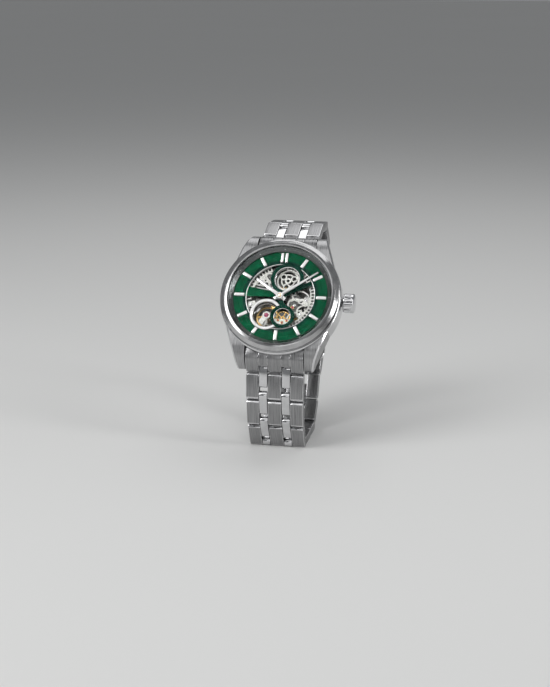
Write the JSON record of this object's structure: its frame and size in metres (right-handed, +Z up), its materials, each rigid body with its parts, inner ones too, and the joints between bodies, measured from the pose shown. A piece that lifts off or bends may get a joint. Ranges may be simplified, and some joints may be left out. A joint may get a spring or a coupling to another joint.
{
  "type": "skeleton wristwatch",
  "caption": "Round steel wristwatch with an open-worked green dial, a visible geared movement, a fluted crown and a folding-clasp link bracelet standing as a closed loop.",
  "frame": {"origin": "middle of the flat outer face of the lower bracelet link that the watch stands on", "axes": "+X to three o'clock, -Y to the front of the dial, +Z up"},
  "size_m": [0.0454, 0.0583, 0.0708],
  "materials": {
    "brushed_steel": "brushed",
    "polished_steel": "polished",
    "dark_steel": "dark satin",
    "silver_plate": "grained",
    "gilt_brass": "gilt",
    "green_dial": "sunburst lacquer",
    "grey_flange": "satin",
    "ruby": "polished stone",
    "sapphire": "clear"
  },
  "bodies": {
    "case": {"case_body": "brushed_steel", "bezel": "polished_steel", "crystal": "sapphire", "flange_ring": "grey_flange", "dial": "green_dial", "open_heart_ring": "polished_steel", "main_plate": "silver_plate", "train_bridge": "silver_plate", "balance_cock": "silver_plate", "balance_jewel": "ruby", "hairspring": "dark_steel", "movement_ring": "dark_steel", "case_back": "brushed_steel", "back_glass": "sapphire", "crown_tube": "dark_steel", "upper_end_link": "brushed_steel", "lower_end_link": "brushed_steel", "upper_spring_bar": "dark_steel", "lower_spring_bar": "dark_steel"},
    "winding_stem": {"winding_stem": "dark_steel"},
    "crown": {"crown": "polished_steel"},
    "centre": {"centre_wheel": "gilt_brass", "minute_hand": "polished_steel"},
    "hour": {"hour_hand": "polished_steel"},
    "barrel": {"barrel": "silver_plate"},
    "third": {"third_wheel": "gilt_brass"},
    "fourth": {"fourth_wheel": "gilt_brass"},
    "escape": {"escape_wheel": "polished_steel"},
    "fork": {"pallet_fork": "polished_steel"},
    "balance": {"balance_wheel": "gilt_brass"},
    "ratchet": {"ratchet_wheel": "silver_plate"},
    "rotor": {"rotor": "brushed_steel"},
    "upper_link_1": {"upper_link_1": "brushed_steel"},
    "upper_link_2": {"upper_link_2": "brushed_steel"},
    "upper_link_3": {"upper_link_3": "brushed_steel"},
    "upper_link_4": {"upper_link_4": "brushed_steel"},
    "upper_link_5": {"upper_link_5": "brushed_steel"},
    "upper_link_6": {"upper_link_6": "brushed_steel"},
    "clasp_cover": {"clasp_cover": "brushed_steel"},
    "clasp_outer_blade": {"clasp_outer_blade": "polished_steel"},
    "clasp_inner_blade": {"clasp_inner_blade": "polished_steel"},
    "clasp_button_left": {"clasp_button_left": "polished_steel"},
    "clasp_button_right": {"clasp_button_right": "polished_steel"},
    "lower_link_1": {"lower_link_1": "brushed_steel"},
    "lower_link_2": {"lower_link_2": "brushed_steel"},
    "lower_link_3": {"lower_link_3": "brushed_steel"},
    "lower_link_4": {"lower_link_4": "brushed_steel"},
    "lower_link_5": {"lower_link_5": "brushed_steel"},
    "lower_link_6": {"lower_link_6": "brushed_steel"},
    "lower_link_7": {"lower_link_7": "brushed_steel"}
  },
  "joints": [
    {"name": "crown_pull", "type": "slide", "parent": "case", "child": "winding_stem", "axis": [1, 0, 0], "range_m": [0, 0.001]},
    {"name": "crown_turn", "type": "hinge", "parent": "winding_stem", "child": "crown", "pos_m": [0, 0.00067, 0.0491], "axis": [1, 0, 0], "continuous": true},
    {"name": "minute_turn", "type": "hinge", "parent": "case", "child": "centre", "pos_m": [0, -0.00211, 0.05105], "axis": [0, 0.8192, -0.5736], "continuous": true},
    {"name": "hour_turn", "type": "hinge", "parent": "case", "child": "hour", "pos_m": [0, -0.00211, 0.05105], "axis": [0, 0.8192, -0.5736], "continuous": true},
    {"name": "barrel_turn", "type": "hinge", "parent": "case", "child": "barrel", "pos_m": [0.0017, 0.00156, 0.05629], "axis": [0, 0.8192, -0.5736], "continuous": true},
    {"name": "third_turn", "type": "hinge", "parent": "case", "child": "third", "pos_m": [0.0043, -0.00395, 0.04843], "axis": [0, 0.8192, -0.5736], "continuous": true},
    {"name": "fourth_turn", "type": "hinge", "parent": "case", "child": "fourth", "pos_m": [0.0015, -0.00624, 0.04515], "axis": [0, 0.8192, -0.5736], "continuous": true},
    {"name": "escape_turn", "type": "hinge", "parent": "case", "child": "escape", "pos_m": [-0.0008, -0.00773, 0.04302], "axis": [0, 0.8192, -0.5736], "continuous": true},
    {"name": "fork_rock", "type": "hinge", "parent": "case", "child": "fork", "pos_m": [-0.00252, -0.00675, 0.04443], "axis": [0, 0.8192, -0.5736], "range_deg": [-6, 6]},
    {"name": "balance_swing", "type": "hinge", "parent": "case", "child": "balance", "pos_m": [-0.0041, -0.00584, 0.04572], "axis": [0, 0.8192, -0.5736], "range_deg": [-270, 270], "stiffness_Nm_per_rad": 0.000001},
    {"name": "ratchet_turn", "type": "hinge", "parent": "case", "child": "ratchet", "pos_m": [0.0017, 0.00156, 0.05629], "axis": [0, 0.8192, -0.5736], "continuous": true},
    {"name": "rotor_turn", "type": "hinge", "parent": "case", "child": "rotor", "pos_m": [0, -0.00211, 0.05105], "axis": [0, 0.8192, -0.5736], "continuous": true},
    {"name": "upper_hinge_1", "type": "hinge", "parent": "case", "child": "upper_link_1", "pos_m": [0, 0.01654, 0.06619], "axis": [1, 0, 0], "range_deg": [0, 35]},
    {"name": "upper_hinge_2", "type": "hinge", "parent": "upper_link_1", "child": "upper_link_2", "pos_m": [0, 0.02528, 0.06937], "axis": [1, 0, 0], "range_deg": [0, 28]},
    {"name": "upper_hinge_3", "type": "hinge", "parent": "upper_link_2", "child": "upper_link_3", "pos_m": [0, 0.03456, 0.06872], "axis": [1, 0, 0], "range_deg": [0, 50]},
    {"name": "upper_hinge_4", "type": "hinge", "parent": "upper_link_3", "child": "upper_link_4", "pos_m": [0, 0.04054, 0.06159], "axis": [1, 0, 0], "range_deg": [0, 36]},
    {"name": "upper_hinge_5", "type": "hinge", "parent": "upper_link_4", "child": "upper_link_5", "pos_m": [0, 0.04183, 0.05238], "axis": [1, 0, 0], "range_deg": [0, 20]},
    {"name": "upper_hinge_6", "type": "hinge", "parent": "upper_link_5", "child": "upper_link_6", "pos_m": [0, 0.04054, 0.04317], "axis": [1, 0, 0], "range_deg": [0, 12]},
    {"name": "cover_hinge", "type": "hinge", "parent": "upper_link_6", "child": "clasp_cover", "pos_m": [0, 0.03798, 0.03423], "axis": [1, 0, 0], "range_deg": [0, 23]},
    {"name": "outer_blade_fold", "type": "hinge", "parent": "clasp_cover", "child": "clasp_outer_blade", "pos_m": [0, 0.02611, 0.01886], "axis": [1, 0, 0], "range_deg": [0, 95]},
    {"name": "inner_blade_fold", "type": "hinge", "parent": "clasp_outer_blade", "child": "clasp_inner_blade", "pos_m": [0, 0.03405, 0.03186], "axis": [-1, 0, 0], "range_deg": [0, 120]},
    {"name": "clasp_button_left_press", "type": "slide", "parent": "clasp_cover", "child": "clasp_button_left", "axis": [1, 0, 0], "range_m": [0, 0.0006], "stiffness_N_per_m": 300},
    {"name": "clasp_button_right_press", "type": "slide", "parent": "clasp_cover", "child": "clasp_button_right", "axis": [-1, 0, 0], "range_m": [0, 0.0006], "stiffness_N_per_m": 300},
    {"name": "lower_hinge_1", "type": "hinge", "parent": "case", "child": "lower_link_1", "pos_m": [0, -0.00996, 0.02834], "axis": [-1, 0, 0], "range_deg": [0, 28.69]},
    {"name": "lower_hinge_2", "type": "hinge", "parent": "lower_link_1", "child": "lower_link_2", "pos_m": [0, -0.01098, 0.0191], "axis": [-1, 0, 0], "range_deg": [0, 18]},
    {"name": "lower_hinge_3", "type": "hinge", "parent": "lower_link_2", "child": "lower_link_3", "pos_m": [0, -0.00973, 0.00988], "axis": [-1, 0, 0], "range_deg": [0, 22]},
    {"name": "lower_hinge_4", "type": "hinge", "parent": "lower_link_3", "child": "lower_link_4", "pos_m": [0, -0.0057, 0.0015], "axis": [-1, 0, 0], "range_deg": [0, 68.31]},
    {"name": "lower_hinge_5", "type": "hinge", "parent": "lower_link_4", "child": "lower_link_5", "pos_m": [0, 0.0036, 0.0015], "axis": [-1, 0, 0], "range_deg": [0, 4]},
    {"name": "lower_hinge_6", "type": "hinge", "parent": "lower_link_5", "child": "lower_link_6", "pos_m": [0, 0.0129, 0.0015], "axis": [-1, 0, 0], "range_deg": [0, 46.29]},
    {"name": "lower_hinge_7", "type": "hinge", "parent": "lower_link_6", "child": "lower_link_7", "pos_m": [0, 0.01978, 0.00776], "axis": [-1, 0, 0], "range_deg": [0, 24]}
  ],
  "couplings": [
    {"joint": "hour_turn", "follows": "minute_turn", "ratio": 0.083333},
    {"joint": "barrel_turn", "follows": "minute_turn", "ratio": -0.2381},
    {"joint": "third_turn", "follows": "minute_turn", "ratio": -4},
    {"joint": "fourth_turn", "follows": "minute_turn", "ratio": 15},
    {"joint": "escape_turn", "follows": "minute_turn", "ratio": -75},
    {"joint": "ratchet_turn", "follows": "crown_turn", "ratio": 0.25}
  ]
}
